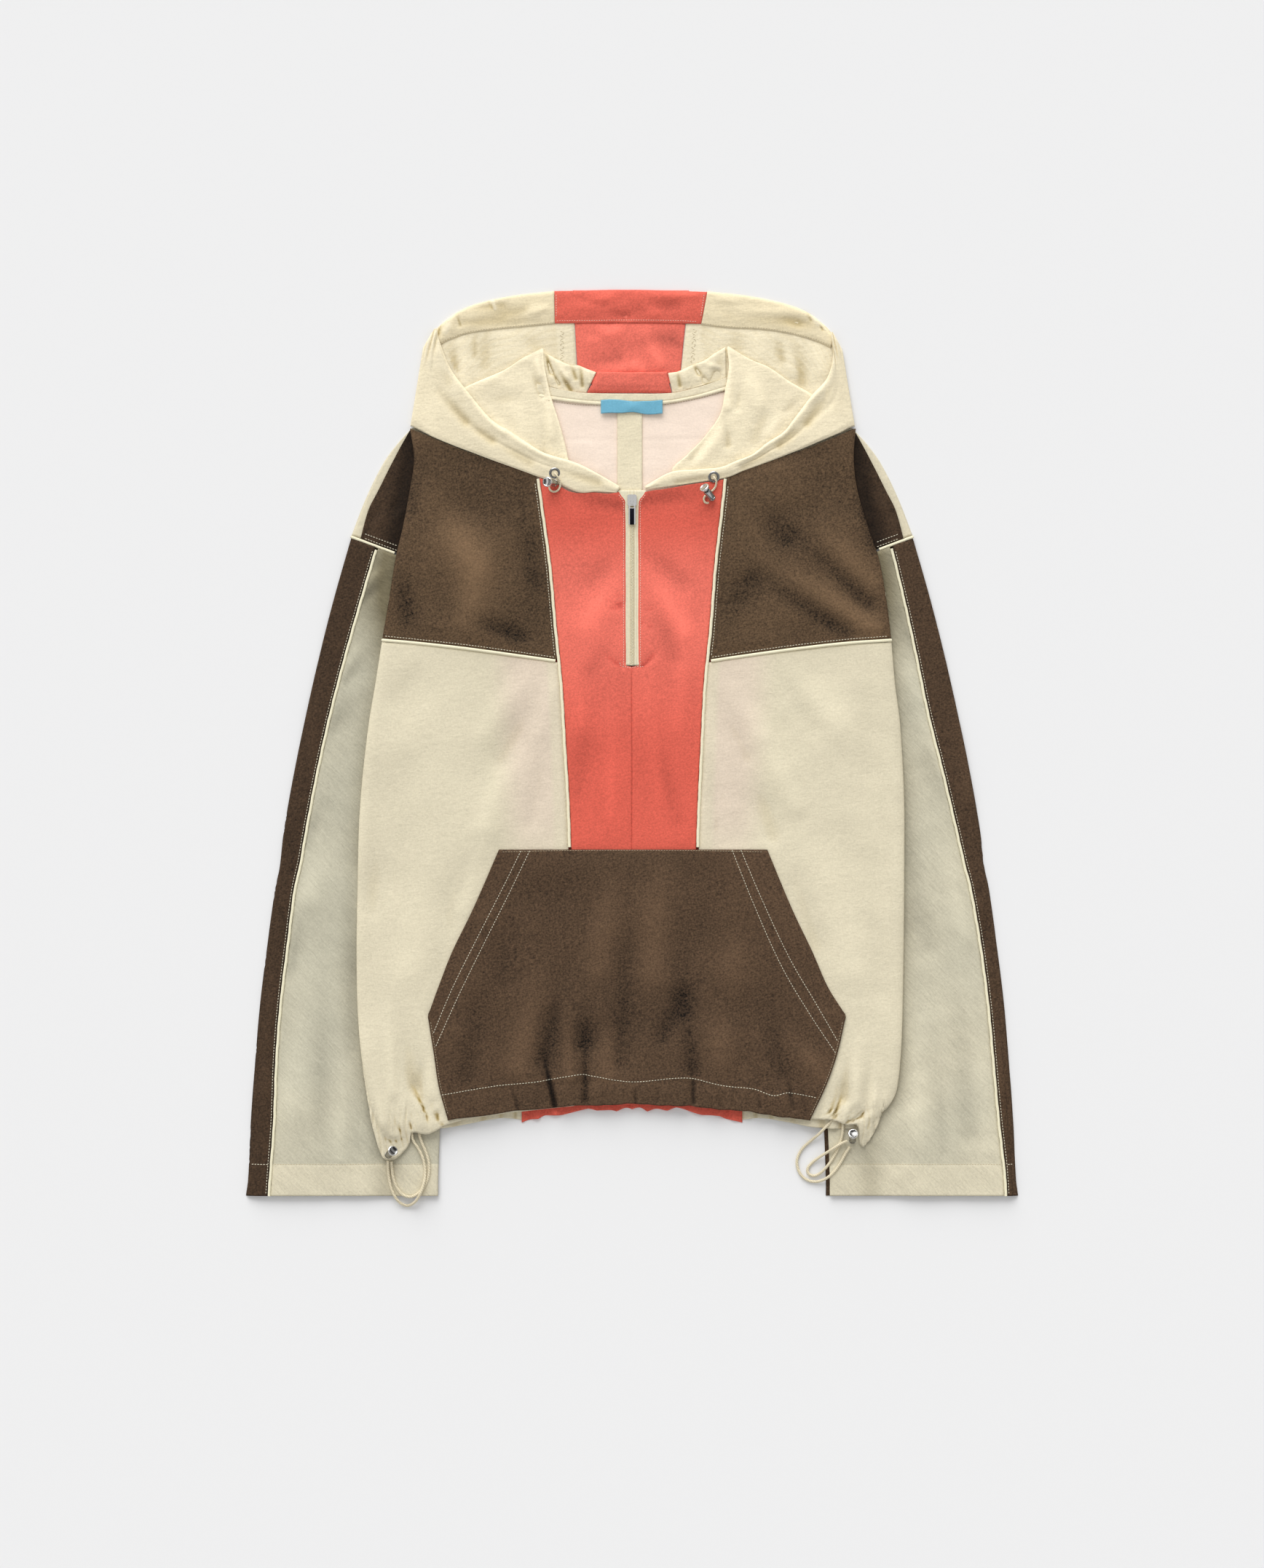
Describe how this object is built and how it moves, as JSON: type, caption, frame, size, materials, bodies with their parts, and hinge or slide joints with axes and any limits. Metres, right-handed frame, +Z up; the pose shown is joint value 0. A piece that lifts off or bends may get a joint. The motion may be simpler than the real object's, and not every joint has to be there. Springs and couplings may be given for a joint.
{
  "type": "hooded half-zip windbreaker jacket",
  "caption": "Hooded half-zip windbreaker laid flat, with a kangaroo pocket, piped colour blocks, long sleeves, and gathered hem with cord locks.",
  "frame": {"origin": "on the surface that the jacket lies on, under the middle of its box, measured without the cords", "axes": "+Y from the hem to the hood, +X to the right as the front is seen from above, +Z up, out of the front"},
  "size_m": [0.7188, 0.8555, 0.0257],
  "materials": {
    "cream_cloth": "light plain-weave cotton-nylon in cream",
    "sheer_cloth": "the same cream cloth, thin over brown, so it reads grey-green",
    "brown_cloth": "light plain-weave cotton-nylon in dark brown",
    "coral_cloth": "light plain-weave cotton-nylon in coral",
    "lining_cloth": "pale cream inside of the back, tinted pink by the coral outside",
    "piping": "corded cream piping",
    "zip_tape": "woven cream tape with nylon coil",
    "blue_label": "satin-woven bare label",
    "cord": "round braided elastic cord",
    "nickel": "bright nickel plate"
  },
  "bodies": {
    "garment": {"back_centre": "coral_cloth", "back_side_L": "cream_cloth", "back_side_R": "cream_cloth", "back_shoulder_L": "cream_cloth", "back_shoulder_R": "cream_cloth", "back_lining": "lining_cloth", "neck_tape": "cream_cloth", "hanger_tape": "cream_cloth", "neck_label": "blue_label", "front_centre_L": "coral_cloth", "front_centre_R": "coral_cloth", "front_yoke_L": "brown_cloth", "front_yoke_R": "brown_cloth", "front_side_L": "cream_cloth", "front_side_R": "cream_cloth", "front_shoulder_L": "brown_cloth", "front_shoulder_R": "brown_cloth", "pocket": "brown_cloth", "sleeve_front_L": "sheer_cloth", "sleeve_front_R": "sheer_cloth", "sleeve_back_L": "brown_cloth", "sleeve_back_R": "brown_cloth", "piping_centre_L": "piping", "piping_centre_R": "piping", "piping_yoke_L": "piping", "piping_yoke_R": "piping", "piping_armhole_L": "piping", "piping_armhole_R": "piping", "piping_sleeve_L": "piping", "piping_sleeve_R": "piping", "hood_side_L": "cream_cloth", "hood_side_R": "cream_cloth", "hood_centre": "coral_cloth", "hood_stand_L": "cream_cloth", "hood_stand_R": "cream_cloth", "hood_flap_L": "cream_cloth", "hood_flap_R": "cream_cloth", "hood_casing_centre": "coral_cloth", "hood_casing_L": "cream_cloth", "hood_casing_R": "cream_cloth", "zip_tape": "zip_tape", "zip_slider": "nickel", "eyelet_L": "nickel", "eyelet_R": "nickel", "lock_barrel_hood_L": "nickel", "lock_barrel_hood_R": "nickel", "lock_barrel_hem_L": "nickel", "lock_barrel_hem_R": "nickel", "hood_cord_L": "cord", "hood_cord_R": "cord", "hem_cord_L_outer": "cord", "hem_cord_L_inner": "cord", "hem_cord_R_outer": "cord", "hem_cord_R_inner": "cord"},
    "zip_pull": {"zip_pull": "nickel"},
    "hood_plunger_L": {"lock_plunger_hood_L": "nickel"},
    "hood_plunger_R": {"lock_plunger_hood_R": "nickel"},
    "hem_plunger_L": {"lock_plunger_hem_L": "nickel"},
    "hem_plunger_R": {"lock_plunger_hem_R": "nickel"}
  },
  "joints": [
    {"name": "pull_swing", "type": "hinge", "parent": "garment", "child": "zip_pull", "pos_m": [0, 0.2264, 0.00855], "axis": [-1, 0, 0], "range_deg": [0, 150]},
    {"name": "hood_press_L", "type": "slide", "parent": "garment", "child": "hood_plunger_L", "axis": [0.4226, 0, -0.9063], "range_m": [0, 0.0024], "stiffness_N_per_m": 300, "springref_m": -0.002},
    {"name": "hood_press_R", "type": "slide", "parent": "garment", "child": "hood_plunger_R", "axis": [0.5091, -0.6287, -0.5878], "range_m": [0, 0.0024], "stiffness_N_per_m": 300, "springref_m": -0.002},
    {"name": "hem_press_L", "type": "slide", "parent": "garment", "child": "hem_plunger_L", "axis": [-0.3536, -0.3536, -0.866], "range_m": [0, 0.0024], "stiffness_N_per_m": 300, "springref_m": -0.002},
    {"name": "hem_press_R", "type": "slide", "parent": "garment", "child": "hem_plunger_R", "axis": [0, -0.5, -0.866], "range_m": [0, 0.0024], "stiffness_N_per_m": 300, "springref_m": -0.002}
  ]
}
